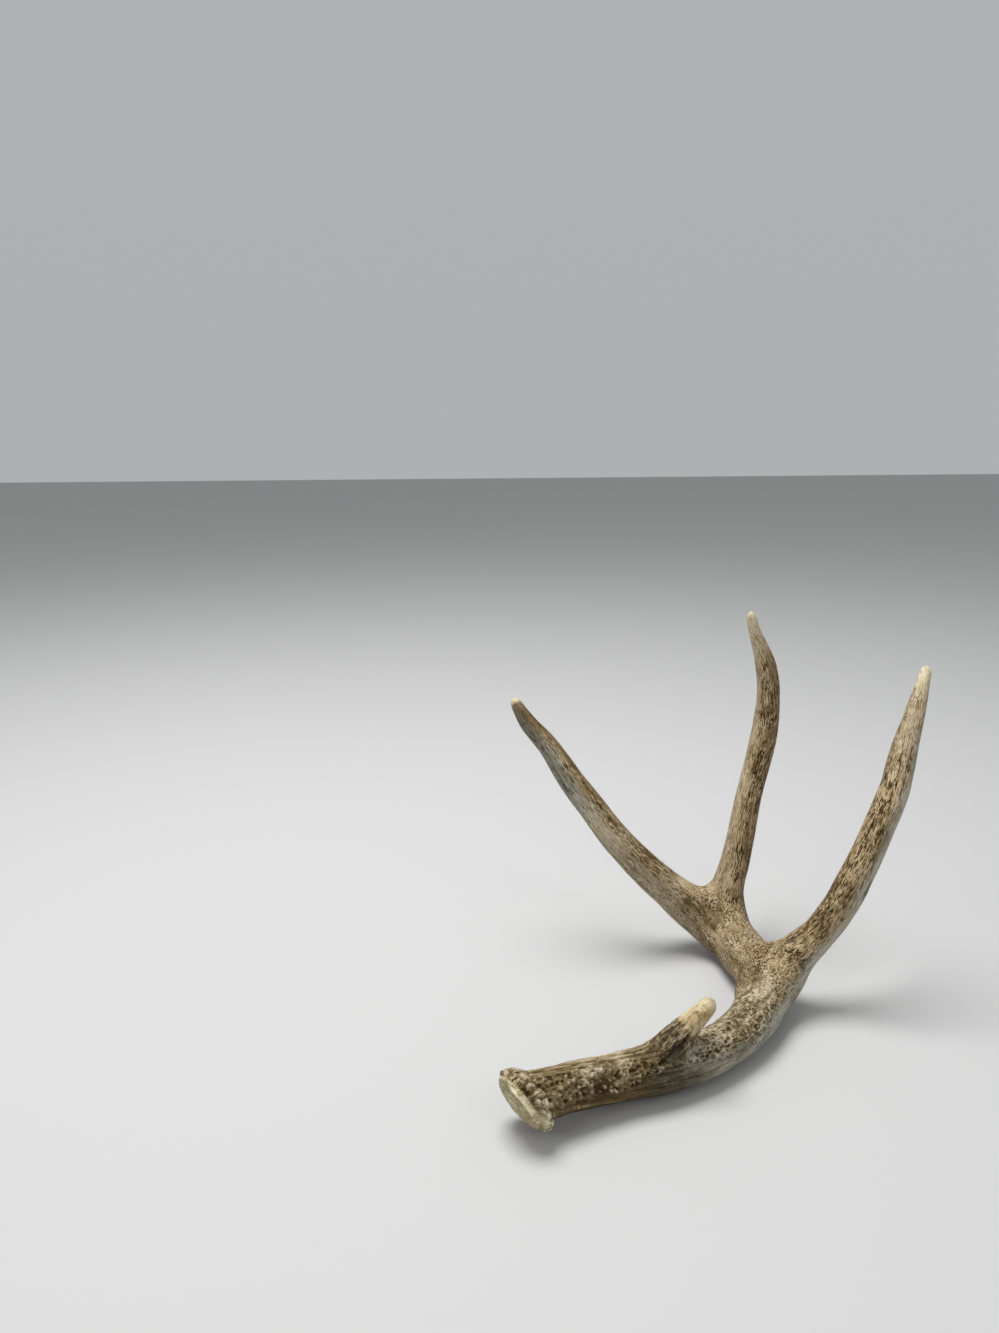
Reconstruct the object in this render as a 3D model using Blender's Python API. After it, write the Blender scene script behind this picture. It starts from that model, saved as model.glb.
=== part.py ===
"""A shed right antler of a white-tailed deer, lying on its outer curve with its tines up.

The main beam runs from the burr, the knobbed ring at its root, to its own tip. The brow tine, the
second tine and the third tine grow out of it. Each is one closed solid, and each tine ends 0.4 mm
short of the beam, so that the skin runs on across the fork.

Sizes are in millimetres and become metres where a mesh is made.
"""

import bpy
import numpy as np

METRES = 0.001

# --- Driving dimensions (mm) -------------------------------------------------------------------

# Centre line and radius, as x, y, z, radius, from root to tip.
BEAM = (
    (9, 472, 18.4, 14.6),
    (26, 481, 18.6, 12.2),
    (42, 489, 17, 12.2),
    (57, 496, 15.3, 12.4),
    (80, 504, 15, 13.2),
    (103, 514, 14.3, 13.1),
    (127, 531, 13.8, 12.6),
    (145, 551, 14, 13.6),
    (157.5, 574, 14.3, 14.4),
    (162, 597, 13.9, 13.6),
    (160, 619, 14.3, 14.4),
    (157.5, 643, 14.8, 15.8),
    (148.5, 661.5, 17.5, 14.4),
    (133.5, 668.5, 26.7, 14),
    (118, 669.5, 40, 12.5),
    (101, 669.5, 56, 11.3),
    (80.5, 672, 77.5, 10.3),
    (61, 678, 102, 9.4),
    (44, 684, 124.5, 8.3),
    (32, 687.5, 142.5, 7),
    (17.5, 691.5, 159, 5.6),
    (9.5, 695, 173.5, 3.5),
)
BROW_TINE = (
    (80, 504, 15, 3.2),
    (86, 506.5, 22, 5.6),
    (92, 509.2, 28.3, 7.6),
    (98.5, 511, 34.3, 7.1),
    (105.5, 513.5, 40.3, 6.1),
    (111.5, 516, 45.2, 5.1),
    (116, 518, 48.8, 4.4),
)
SECOND_TINE = (
    (159, 590, 16, 6.5),
    (170.5, 591, 22.5, 12.3),
    (180, 592, 32.5, 12.4),
    (194.5, 595, 45.5, 10.5),
    (207.5, 597, 62.5, 10.1),
    (217, 598.5, 81, 10.1),
    (226.5, 602.5, 99.5, 9.6),
    (235, 607, 118, 9.4),
    (244, 615, 135.5, 9),
    (250.5, 623.5, 151.5, 8.3),
    (259.5, 635.5, 169.5, 6.7),
    (268.5, 648, 186.5, 4.9),
    (276, 659, 202, 3.2),
)
THIRD_TINE = (
    (147, 659, 18, 5.5),
    (153, 665.5, 27.5, 11.4),
    (155.5, 669, 41, 11.1),
    (160.5, 673, 59, 9.8),
    (166, 679, 81, 9.2),
    (171.5, 686.5, 103, 8.9),
    (177.5, 692, 124, 8.8),
    (183, 697.5, 145, 8.8),
    (185.5, 701, 166, 8.1),
    (185, 702.5, 183.5, 7.5),
    (180.5, 703, 201.5, 6.1),
    (174.5, 704, 217.5, 4),
    (171, 703.5, 230.5, 2.9),
)

ORIGIN = (137.17, 583.61, -1.07)  # middle of the footprint, on the surface that it rests on
GAP = 0.4  # between the beam and each tine

BEAM_SIDES = 36
TINE_SIDES = 20
BROW_SIDES = 22

FORK_FILLET = 18.0  # width over which the second and third tine melt into the beam
BROW_FILLET = 9.0
BEAM_FLARE = 6.0  # how far a fork may lift the beam's own skin
TINE_FLARE = 4.6  # how far a fork may lift a tine's skin
FLARE_START = 14.0  # the flare grows over this first stretch of a tine, inside the beam
ROOT_SINK = 1.6  # a tine's skin lies this much lower where it grazes the beam's

BURR_FLARE = 4.0  # how far the burr stands out from the beam
BURR_LENGTH = 11.0
BURR_KNOB = 1.5
SEAL_NORMAL = (-0.74, -0.56, -0.37)  # the face where the antler came off the skull
SEAL_BULGE = 2.2
SEAL_FLAT = 7.5  # radius of the flat middle of the seal
SEAL_TURN = 24.0  # length over which the rings turn from the seal's plane to the beam's own

RIDGE_HEIGHT = 0.9
RIDGES_AROUND = 13
RIDGE_REACH = 170.0  # the ridges fade out this far up the beam
PEARL_HEIGHT = 1.1
PEARL_SHARE = 0.22  # share of the points near the burr that carry a pearl
PEARL_REACH = 95.0
LUMP_HEIGHT = 0.45

UP = (0.0, 0.0, 1.0)
BACK = (0.0, 1.0, 0.0)


# --- Curves and fields -------------------------------------------------------------------------


def ease(x):
    """Runs from 0 to 1 with level ends: 3x^2 - 2x^3 on the clipped x."""
    x = np.clip(x, 0.0, 1.0)
    return x * x * (3.0 - 2.0 * x)


def unit(v):
    return v / np.linalg.norm(v, axis=-1, keepdims=True)


def curve_through(points):
    """(read, length) of the natural cubic spline through the points, by chord length."""
    points = np.array(points, float)
    chords = np.linalg.norm(np.diff(points[:, :3], axis=0), axis=1)
    knots = np.concatenate([[0.0], np.cumsum(chords)])
    count = len(knots)
    matrix = np.eye(count)
    right = np.zeros_like(points)
    slopes = np.diff(points, axis=0) / chords[:, None]
    for i in range(1, count - 1):
        matrix[i, i - 1 : i + 2] = chords[i - 1], 2 * (chords[i - 1] + chords[i]), chords[i]
        right[i] = 6 * (slopes[i] - slopes[i - 1])
    bends = np.linalg.solve(matrix, right)

    def read(s):
        i = np.clip(np.searchsorted(knots, s) - 1, 0, count - 2)
        span = chords[i][:, None]
        a = (knots[i + 1][:, None] - s[:, None]) / span
        b = 1.0 - a
        arc = (a**3 - a) * bends[i] + (b**3 - b) * bends[i + 1]
        return a * points[i] + b * points[i + 1] + arc * span**2 / 6

    return read, knots[-1]


def noise(u, v, columns, seed):
    """Smooth value noise from -1 to 1: random numbers on a lattice, blended between its points.

    It wraps round after this many columns of u.
    """
    rows = 64
    table = np.random.default_rng(seed).uniform(-1, 1, (rows, columns))
    u0 = np.floor(u).astype(int)
    v0 = np.floor(v).astype(int)
    fu = ease(u - u0)
    fv = ease(v - v0)
    low = table[v0 % rows, u0 % columns] * (1 - fu) + table[v0 % rows, (u0 + 1) % columns] * fu
    v1 = (v0 + 1) % rows
    high = table[v1, u0 % columns] * (1 - fu) + table[v1, (u0 + 1) % columns] * fu
    return low * (1 - fv) + high * fv


def distance_to(path, points):
    """Distance from each point to the skin of the round tube along the path."""
    read, length = path
    tube = read(np.arange(0.0, length, 2.0))
    apart = np.linalg.norm(points[:, None] - tube[None, :, :3], axis=2)
    return (apart - tube[None, :, 3]).min(axis=1)


def melt(a, b, width):
    """The lesser of two distances, rounded off by a parabola where they differ by under width."""
    h = np.clip(width - np.abs(a - b), 0.0, None) / width
    return np.minimum(a, b) - h * h * width / 4


def skin_distance(points):
    """Distance to the skin of the whole antler, with a fillet round the root of each tine."""
    found = distance_to(PATHS["main_beam"], points)
    found = melt(found, distance_to(PATHS["brow_tine"], points), BROW_FILLET)
    found = melt(found, distance_to(PATHS["second_tine"], points), FORK_FILLET)
    return melt(found, distance_to(PATHS["third_tine"], points), FORK_FILLET)


PATHS = {
    "main_beam": curve_through(BEAM),
    "brow_tine": curve_through(BROW_TINE),
    "second_tine": curve_through(SECOND_TINE),
    "third_tine": curve_through(THIRD_TINE),
}


# --- Surfaces ----------------------------------------------------------------------------------


def spread(stops):
    """Stations from (position, spacing) stops: the spacing changes evenly from stop to stop."""
    places, spacings = np.array(stops, float).T
    s = places[0]
    stations = []
    while s < places[-1]:
        stations.append(s)
        s += np.interp(s, places, spacings)
    stations = np.array(stations)
    return places[0] + (stations - places[0]) * (places[-1] / stations[-1])


def rings(path, stations, sides, up):
    """(centres, directions, radii, angles) of the ring of points round each station."""
    read, _ = path
    here = read(stations)
    ahead = read(stations + 0.5)
    along = unit(ahead[:, :3] - here[:, :3])
    turn = ease(stations / SEAL_TURN)[:, None]
    if path is PATHS["main_beam"]:
        along = unit(along * turn - np.array(SEAL_NORMAL) * (1 - turn))
    side = unit(np.cross(along, up))
    top = np.cross(side, along)
    angles = np.arange(sides) * (2 * np.pi / sides)
    directions = (
        np.cos(angles)[None, :, None] * top[:, None]
        + np.sin(angles)[None, :, None] * side[:, None]
    )
    return here[:, None, :3], directions, here[:, 3], angles


def skin_radii(centres, directions, radii, flare):
    """How far each ray runs from the centre line to the antler's skin, at most flare past the tube.

    Each step moves a point along its ray by the distance that still parts it from the skin.
    """
    reach = np.repeat(radii[:, None], directions.shape[1], axis=1)
    for _ in range(8):
        points = centres + directions * reach[:, :, None]
        apart = skin_distance(points.reshape(-1, 3)).reshape(reach.shape)
        reach = np.clip(reach - apart, radii[:, None], (radii + flare)[:, None])
    return reach


def rounded_end(stations, length, blunt):
    """1 along a branch, falling to 0 over its last stretch as a quarter circle does."""
    return np.sqrt(1 - np.clip((stations - length + blunt) / blunt, 0.0, 1.0) ** 2)


def lumps(stations, angles, seed):
    """Slow swellings of a branch: noise, 5 cells round it and one every 22 mm along it."""
    return LUMP_HEIGHT * noise(angles[None] * 5 / (2 * np.pi), stations[:, None] / 22, 5, seed)


def beam_relief(stations, angles):
    """Ridges, pearls and the knobbed burr, as heights over the beam's skin."""
    s = stations[:, None]
    round_it = angles[None] / (2 * np.pi)
    sway = 0.35 * noise(round_it * 4, s / 30, 4, 11)
    ridge = 1 - 2 * np.abs(noise((round_it * RIDGES_AROUND + sway), s / 34, RIDGES_AROUND, 12))
    ridge *= RIDGE_HEIGHT * (1 - ease(s / RIDGE_REACH))
    chance = np.random.default_rng(13).random((len(stations), len(angles)))
    closeness = (1 - ease(s / PEARL_REACH)) * ease((s - BURR_LENGTH) / 6)
    pearl = PEARL_HEIGHT * (chance < PEARL_SHARE * closeness)
    collar = np.sin(np.pi * np.clip((s + 5) / (BURR_LENGTH + 5), 0, 1)) ** 0.8
    knob = 1 + 0.3 * noise(round_it * 17, s / 4, 17, 14)
    burr = collar * (BURR_FLARE * knob + BURR_KNOB * noise(round_it * 17, s / 5, 17, 15))
    return ridge + pearl + burr + lumps(stations, angles, 16)


def tube_faces(ring_count, sides, first_pole, last_pole):
    """Quads between neighbouring rings, and a fan of triangles to each pole."""
    i, j = np.meshgrid(np.arange(ring_count - 1), np.arange(sides), indexing="ij")
    k = (j + 1) % sides
    quads = np.stack([i * sides + j, i * sides + k, (i + 1) * sides + k, (i + 1) * sides + j], -1)
    j = np.arange(sides)
    k = (j + 1) % sides
    last = (ring_count - 1) * sides
    start = np.stack([k, j, np.full(sides, first_pole)], -1)
    end = np.stack([last + j, last + k, np.full(sides, last_pole)], -1)
    return quads.reshape(-1, 4).tolist() + start.tolist() + end.tolist()


def closed_tube(name, grid, first_pole, last_pole):
    """A mesh object from rings of points and the two points that close its ends."""
    ring_count, sides, _ = grid.shape
    points = np.concatenate([grid.reshape(-1, 3), [first_pole, last_pole]])
    faces = tube_faces(ring_count, sides, len(points) - 2, len(points) - 1)
    mesh = bpy.data.meshes.new(name)
    mesh.from_pydata(((points - ORIGIN) * METRES).tolist(), [], faces)
    mesh.shade_smooth()
    made = bpy.data.objects.new(name, mesh)
    bpy.context.scene.collection.objects.link(made)
    return made


def main_beam(name, grow=0.0):
    """The beam with its burr, as one tube; grow moves its whole skin outwards."""
    path = PATHS["main_beam"]
    length = path[1]
    stops = ((0, 1.7), (12, 2.2), (60, 4.0), (120, 7.0), (180, 7.0), (200, 5.5), (300, 5.5))
    tail = ((330, 9.0), (length - 14, 9.0), (length - 6, 2.5), (length, 1.2))
    stations = spread(stops + tail)
    centres, directions, radii, angles = rings(path, stations, BEAM_SIDES, UP)
    reach = skin_radii(centres, directions, radii, BEAM_FLARE)
    reach += beam_relief(stations, angles)
    reach *= rounded_end(stations, length, 6.0)[:, None]
    grid = (centres + directions * (reach + grow)[:, :, None])[:-1]
    normal = np.array(SEAL_NORMAL)
    seal = centres[0, 0]
    rim = grid[0] - seal
    face = []
    for share, lift in ((0.55, 0.85), (0.8, 0.55)):
        face.append(seal + rim * share + normal * SEAL_BULGE * lift)
    flat = seal + directions[0] * SEAL_FLAT + normal * (SEAL_BULGE + grow)
    grid = np.concatenate([[flat], face[:1], face[1:], grid])
    return closed_tube(name, grid, seal + normal * (SEAL_BULGE + grow), centres[-1, 0])


def tine(name, sides, blunt, stops, seed):
    """A tine as a tube from inside the beam to its tip, cut back to the beam's skin."""
    path = PATHS[name]
    stations = spread(stops)
    centres, directions, radii, angles = rings(path, stations, sides, BACK)
    reach = skin_radii(centres, directions, radii, TINE_FLARE * ease(stations / FLARE_START))
    skin = centres + directions * reach[:, :, None]
    above = distance_to(PATHS["main_beam"], skin.reshape(-1, 3)).reshape(reach.shape)
    reach -= ROOT_SINK * (1 - ease(above / 3.5))
    reach += lumps(stations, angles, seed)
    reach *= rounded_end(stations, path[1], blunt)[:, None]
    grid = (centres + directions * reach[:, :, None])[:-1]
    made = closed_tube(name, grid, centres[0, 0], centres[-1, 0])
    cut = made.modifiers.new("root", "BOOLEAN")
    cut.operation = "DIFFERENCE"
    cut.object = bpy.data.objects["beam_cutter"]
    return made


# --- Materials ---------------------------------------------------------------------------------


def material(name, colour, roughness):
    made = bpy.data.materials.new(name)
    made.use_nodes = True
    shader = made.node_tree.nodes["Principled BSDF"]
    shader.inputs["Base Color"].default_value = (*colour, 1.0)
    shader.inputs["Roughness"].default_value = roughness
    shader.inputs["Metallic"].default_value = 0.0
    return made


def main():
    for old in list(bpy.data.objects):
        bpy.data.objects.remove(old)
    length = {name: path[1] for name, path in PATHS.items()}
    beam = main_beam("main_beam")
    cutter = main_beam("beam_cutter", grow=GAP)
    cutter.hide_render = True
    cutter.display_type = "WIRE"
    end = length["brow_tine"]
    stops = ((0, 3.0), (end - 8, 3.0), (end - 3, 1.6), (end, 0.9))
    brow = tine("brow_tine", BROW_SIDES, 5.5, stops, 21)
    end = length["second_tine"]
    stops = ((0, 5.0), (50, 8.0), (end - 14, 9.0), (end - 5, 2.2), (end, 1.0))
    second = tine("second_tine", TINE_SIDES, 5.0, stops, 22)
    end = length["third_tine"]
    stops = ((0, 5.0), (50, 8.0), (end - 14, 9.0), (end - 5, 2.2), (end, 1.0))
    third = tine("third_tine", TINE_SIDES, 5.0, stops, 23)
    beam.data.materials.append(material("beam_bone", (0.36, 0.28, 0.18), 0.62))
    brow.data.materials.append(material("brow_bone", (0.46, 0.38, 0.25), 0.5))
    second.data.materials.append(material("second_bone", (0.44, 0.36, 0.24), 0.55))
    third.data.materials.append(material("third_bone", (0.40, 0.31, 0.19), 0.55))


main()
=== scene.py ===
"""The look of a shed right antler of a white-tailed deer, lying on its outer curve with its tines up.

Four pieces stand for the four solids. Each is a tube: rings of points round a branch's centre line,
pushed out to the skin that the whole antler shares and then by the relief. Relief and markings depend
only on where a point is and on its place along the branches near it, so the pieces meet without a step.

Sizes are in millimetres and become metres where a mesh is made.
"""

from collections import namedtuple

import bpy
import numpy as np
from mathutils import Euler, Matrix, Vector


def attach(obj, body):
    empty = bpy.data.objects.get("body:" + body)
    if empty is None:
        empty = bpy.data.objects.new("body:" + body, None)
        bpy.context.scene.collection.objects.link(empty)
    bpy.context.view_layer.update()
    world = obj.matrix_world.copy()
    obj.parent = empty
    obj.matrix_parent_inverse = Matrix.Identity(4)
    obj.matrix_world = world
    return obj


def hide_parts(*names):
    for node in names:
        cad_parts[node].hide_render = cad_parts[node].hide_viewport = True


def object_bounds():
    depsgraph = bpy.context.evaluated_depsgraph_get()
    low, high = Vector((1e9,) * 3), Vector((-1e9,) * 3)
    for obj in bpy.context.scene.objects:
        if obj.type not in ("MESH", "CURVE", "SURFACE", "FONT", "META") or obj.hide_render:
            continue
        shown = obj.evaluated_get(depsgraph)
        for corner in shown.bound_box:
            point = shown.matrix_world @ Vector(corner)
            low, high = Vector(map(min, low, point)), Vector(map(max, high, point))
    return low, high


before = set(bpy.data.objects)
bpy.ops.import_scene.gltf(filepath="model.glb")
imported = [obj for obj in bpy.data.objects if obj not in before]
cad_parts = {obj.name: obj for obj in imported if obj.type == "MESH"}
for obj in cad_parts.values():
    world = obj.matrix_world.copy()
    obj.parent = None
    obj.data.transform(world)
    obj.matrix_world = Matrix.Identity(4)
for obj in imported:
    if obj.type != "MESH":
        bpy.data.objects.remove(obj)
CAD_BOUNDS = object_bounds()

METRES = 0.001

# --- The branches (mm): x, y, z and radius along each centre line, as in the solids ------------------

BEAM = (
    (9, 472, 18.4, 14.6),
    (26, 481, 18.6, 12.2),
    (42, 489, 17, 12.2),
    (57, 496, 15.3, 12.4),
    (80, 504, 15, 13.2),
    (103, 514, 14.3, 13.1),
    (127, 531, 13.8, 12.6),
    (145, 551, 14, 13.6),
    (157.5, 574, 14.3, 14.4),
    (162, 597, 13.9, 13.6),
    (160, 619, 14.3, 14.4),
    (157.5, 643, 14.8, 15.8),
    (148.5, 661.5, 17.5, 14.4),
    (133.5, 668.5, 26.7, 14),
    (118, 669.5, 40, 12.5),
    (101, 669.5, 56, 11.3),
    (80.5, 672, 77.5, 10.3),
    (61, 678, 102, 9.4),
    (44, 684, 124.5, 8.3),
    (32, 687.5, 142.5, 7),
    (17.5, 691.5, 159, 5.6),
    (9.5, 695, 173.5, 3.5),
)
BROW_TINE = (
    (80, 504, 15, 3.2),
    (86, 506.5, 22, 5.6),
    (92, 509.2, 28.3, 7.6),
    (98.5, 511, 34.3, 7.1),
    (105.5, 513.5, 40.3, 6.1),
    (111.5, 516, 45.2, 5.1),
    (116, 518, 48.8, 4.4),
)
SECOND_TINE = (
    (159, 590, 16, 6.5),
    (170.5, 591, 22.5, 12.3),
    (180, 592, 32.5, 12.4),
    (194.5, 595, 45.5, 10.5),
    (207.5, 597, 62.5, 10.1),
    (217, 598.5, 81, 10.1),
    (226.5, 602.5, 99.5, 9.6),
    (235, 607, 118, 9.4),
    (244, 615, 135.5, 9),
    (250.5, 623.5, 151.5, 8.3),
    (259.5, 635.5, 169.5, 6.7),
    (268.5, 648, 186.5, 4.9),
    (276, 659, 202, 3.2),
)
THIRD_TINE = (
    (147, 659, 18, 5.5),
    (153, 665.5, 27.5, 11.4),
    (155.5, 669, 41, 11.1),
    (160.5, 673, 59, 9.8),
    (166, 679, 81, 9.2),
    (171.5, 686.5, 103, 8.9),
    (177.5, 692, 124, 8.8),
    (183, 697.5, 145, 8.8),
    (185.5, 701, 166, 8.1),
    (185, 702.5, 183.5, 7.5),
    (180.5, 703, 201.5, 6.1),
    (174.5, 704, 217.5, 4),
    (171, 703.5, 230.5, 2.9),
)
ORIGIN = np.array((137.17, 583.61, -1.07))  # where the frame's origin lies in these numbers

FILLETS = (  # each tine, in the order in which they melt into the beam, and the width over which it does
    ("brow_tine", 9.0),
    ("second_tine", 25.0),
    ("third_tine", 18.0),
)
FORK_RISE = 9.0  # how far a fork may lift the skin off a branch's own tube
BEAM_LEAD = 12.0  # how far before its first point the beam's line still counts, for the rim of the burr
TUCK = 0.8  # a piece dives this far under the skin where another branch is nearer
TUCK_WIDTH = 1.5  # difference in nearness over which it does so

SEAL_NORMAL = np.array((-0.74, -0.56, -0.37)) / np.linalg.norm((-0.74, -0.56, -0.37))
SEAL_BULGE = 3.0  # height of the dome over its rim
SEAL_POWER = 2.6  # of the superellipse that its section follows: over 2, so flat in the middle
SEAL_TURN = 24.0  # length over which the rings turn from the seal's plane to the beam's own
SEAL_RINGS = 30
BURR_FLARE = 4.0  # how far the burr stands out from the beam, without its knobs
BURR_LENGTH = 12.0  # of the flare, along the beam
BURR_RADIUS = 17.0  # at which the knobs are laid out
KNOB_SIZE = 4.8
CREST_SHARE = 0.88  # of the seal's radius, at which a lip stands, painted pale as a highlight where it turns up to the light
CREST_WIDTH = 0.07
CREST_HEIGHT = 1.2
CREST_ANGLE = 40.0  # degrees round the rim from its top, towards the front
CREST_SPAN = 80.0
WORN_ANGLE = 120.0  # middle and width of the stretch of rim that is worn as pale as the seal
WORN_SPAN = 100.0

BEND_CENTRE = np.array((75.0, 590.0))  # x, y of the middle of the beam's open bend
UP = (0.0, 0.0, 1.0)
BACK = (0.0, 1.0, 0.0)
CREASED = (0.0, 0.5, 0.87)  # the way that the long furrows of the base face


# --- Curves and fields -------------------------------------------------------------------------------


def ease(x):
    """Runs from 0 to 1 with level ends: 3x^2 - 2x^3 on the clipped x."""
    x = np.clip(x, 0.0, 1.0)
    return x * x * (3.0 - 2.0 * x)


def between(x, low, high, soft):
    """1 where x lies between low and high, falling to 0 over a soft edge on either side."""
    return ease((x - low) / soft + 0.5) * ease((high - x) / soft + 0.5)


def unit(v):
    """The vectors at length 1."""
    return v / np.maximum(np.linalg.norm(v, axis=-1, keepdims=True), 1e-9)


def dot(a, b):
    """The dot product of each pair of vectors."""
    return (a * b).sum(axis=-1)


def curve_through(points):
    """(read, length) of the natural cubic spline through the points, by chord length."""
    points = np.array(points, float)
    chords = np.linalg.norm(np.diff(points[:, :3], axis=0), axis=1)
    knots = np.concatenate([[0.0], np.cumsum(chords)])
    count = len(knots)
    matrix = np.eye(count)
    right = np.zeros_like(points)
    slopes = np.diff(points, axis=0) / chords[:, None]
    for i in range(1, count - 1):
        matrix[i, i - 1 : i + 2] = chords[i - 1], 2 * (chords[i - 1] + chords[i]), chords[i]
        right[i] = 6 * (slopes[i] - slopes[i - 1])
    bends = np.linalg.solve(matrix, right)

    def read(s):
        i = np.clip(np.searchsorted(knots, s) - 1, 0, count - 2)
        span = chords[i][:, None]
        a = (knots[i + 1][:, None] - s[:, None]) / span
        b = 1.0 - a
        arc = (a**3 - a) * bends[i] + (b**3 - b) * bends[i + 1]
        return a * points[i] + b * points[i + 1] + arc * span**2 / 6

    return read, knots[-1]


LATTICE = 64  # cells each way after which a noise repeats


def noise(points, seed):
    """Smooth value noise from -1 to 1: random numbers on a turned unit lattice, eased between them."""
    random = np.random.default_rng(seed)
    table = random.uniform(-1, 1, (LATTICE,) * 3).astype(np.float32)
    turn = np.linalg.qr(random.normal(size=(3, 3)))[0]
    return blend_lattice(points @ turn, table)


def straight_noise(points, seed):
    """The same noise on a lattice that isn't turned, so that stretching it keeps its direction."""
    table = np.random.default_rng(seed).uniform(-1, 1, (LATTICE,) * 3).astype(np.float32)
    return blend_lattice(points, table)


def blend_lattice(points, table):
    """Reads a table at points, blending the eight numbers round each with ease."""
    cell = np.floor(points).astype(int)
    part = ease(points - cell)
    total = 0.0
    for corner in np.ndindex(2, 2, 2):
        share = np.prod(np.where(corner, part, 1 - part), axis=-1)
        i, j, k = ((cell + corner) % LATTICE).T
        total = total + share * table[i, j, k]
    return total


def cells(points, seed):
    """(nearest, second, chance): distances to the two nearest of the points scattered one to a unit
    cell, and a random number of the nearest."""
    random = np.random.default_rng(seed)
    jitter = random.random((LATTICE, LATTICE, LATTICE, 3)).astype(np.float32)
    chances = random.random((LATTICE,) * 3).astype(np.float32)
    cell = np.floor(points).astype(int)
    nearest = np.full(len(points), 9.0)
    second = nearest.copy()
    chance = np.zeros(len(points))
    for step in np.ndindex(3, 3, 3):
        there = cell + np.array(step) - 1
        i, j, k = (there % LATTICE).T
        apart = np.linalg.norm(there + jitter[i, j, k] - points, axis=1)
        closer = apart < nearest
        second = np.where(closer, nearest, np.minimum(second, apart))
        chance = np.where(closer, chances[i, j, k], chance)
        nearest = np.where(closer, apart, nearest)
    return nearest, second, chance


# --- The shared skin ---------------------------------------------------------------------------------


# How points lie to a branch: length along its line, distance from its tube, direction off the line, and
# the place in the tube's own cross directions and s.
Near = namedtuple("Near", ("s", "gap", "outward", "flow"))


class Branch:
    """A centre line with its radius and its two cross directions, from a table read at any length s.

    The line runs on straight for LEAD past each end.
    """

    STEP = 0.5
    LEAD = 20.0
    COARSE = 8  # one row in so many is tried first for the nearest place
    PASSES = 3  # moves from there along the line to where the point stands square to it

    def __init__(self, points, up):
        read, self.length = curve_through(points)
        half = self.STEP / 2
        self.places = np.arange(-self.LEAD, self.length + self.LEAD, self.STEP)
        inside = np.clip(self.places, half, self.length - half)
        rows = read(inside)
        along = unit(read(inside + half)[:, :3] - read(inside - half)[:, :3])
        centre = rows[:, :3] + along * (self.places - inside)[:, None]
        side = unit(np.cross(along, up))
        top = np.cross(side, along)
        self.table = np.concatenate([centre, rows[:, 3:], along, top, side], axis=1)

    def at(self, s):
        """(centre, radius, along, top, side) at each length s."""
        place = (s - self.places[0]) / self.STEP
        i = np.clip(place.astype(int), 0, len(self.places) - 2)
        part = (place - i)[:, None]
        row = self.table[i] * (1 - part) + self.table[i + 1] * part
        return row[:, :3], row[:, 3], row[:, 4:7], row[:, 7:10], row[:, 10:13]

    def nearest(self, points, guess=None, lead=0.0):
        """Near of the points, from a guess of s if given; s may run to lead before the first point."""
        if guess is None:
            coarse = self.table[:: self.COARSE, :3]
            apart = dot(coarse, coarse) - 2 * points @ coarse.T
            guess = self.places[:: self.COARSE][apart.argmin(axis=1)]
        s = np.clip(guess, -lead, self.length)
        for _ in range(self.PASSES):
            centre, _, along, _, _ = self.at(s)
            s = np.clip(s + dot(points - centre, along), -lead, self.length)
        centre, radius, along, top, side = self.at(s)
        off = points - centre
        flow = np.stack([dot(off, top), dot(off, side), s + dot(off, along)], axis=1)
        return Near(s, np.linalg.norm(off, axis=1) - radius, unit(off), flow)


BRANCHES = {
    "main_beam": Branch(BEAM, UP),
    "brow_tine": Branch(BROW_TINE, BACK),
    "second_tine": Branch(SECOND_TINE, BACK),
    "third_tine": Branch(THIRD_TINE, BACK),
}


def survey(points, before=None):
    """Near of the points for each branch by name, starting from an earlier survey if given."""
    found = {}
    for name, branch in BRANCHES.items():
        guess = before[name].s if before else None
        lead = BEAM_LEAD if name == "main_beam" else 0.0
        found[name] = branch.nearest(points, guess, lead)
    return found


def melt(a, b, width):
    """The lesser of two distances, rounded off by a parabola where they differ by under width."""
    h = np.clip(width - np.abs(a - b), 0.0, None) / width
    return np.minimum(a, b) - h * h * width / 4


def skin_gap(found):
    """Distance to the skin of the whole antler, with a fillet round the root of each tine."""
    gap = found["main_beam"].gap
    for name, width in FILLETS:
        gap = melt(gap, found[name].gap, width)
    return gap


class Grid:
    """Rings of rays round one branch: their start, direction and reach to the shared skin."""

    ROUNDS = 7  # moves of every point along its ray, each by its distance to the skin

    def __init__(self, name, stations, sides):
        branch = BRANCHES[name]
        centre, radius, along, _, _ = branch.at(stations)
        if name == "main_beam":
            turn = ease(stations / SEAL_TURN)[:, None]
            along = unit(along * turn - SEAL_NORMAL * (1 - turn))
        side = unit(np.cross(along, UP if name == "main_beam" else BACK))
        top = np.cross(side, along)
        angles = np.arange(sides) * (2 * np.pi / sides)
        cos, sin = np.cos(angles)[None, :, None], np.sin(angles)[None, :, None]
        self.shape = (len(stations), sides)
        self.rays = (cos * top[:, None] + sin * side[:, None]).reshape(-1, 3)
        self.starts = np.repeat(centre, sides, axis=0)
        self.s = np.repeat(stations, sides)
        self.angle = np.tile(angles, len(stations))
        self.length = branch.length
        least = np.repeat(radius, sides)
        reach = least
        found = None
        for _ in range(self.ROUNDS):
            found = survey(self.starts + self.rays * reach[:, None], found)
            reach = np.clip(reach - skin_gap(found), least, least + FORK_RISE)
        self.reach = reach
        self.points = self.starts + self.rays * reach[:, None]
        self.found = survey(self.points, found)
        others = [near.gap for key, near in self.found.items() if key != name]
        self.under = TUCK * ease((self.found[name].gap - np.min(others, axis=0)) / TUCK_WIDTH)


# --- Relief and markings -----------------------------------------------------------------------------

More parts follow.
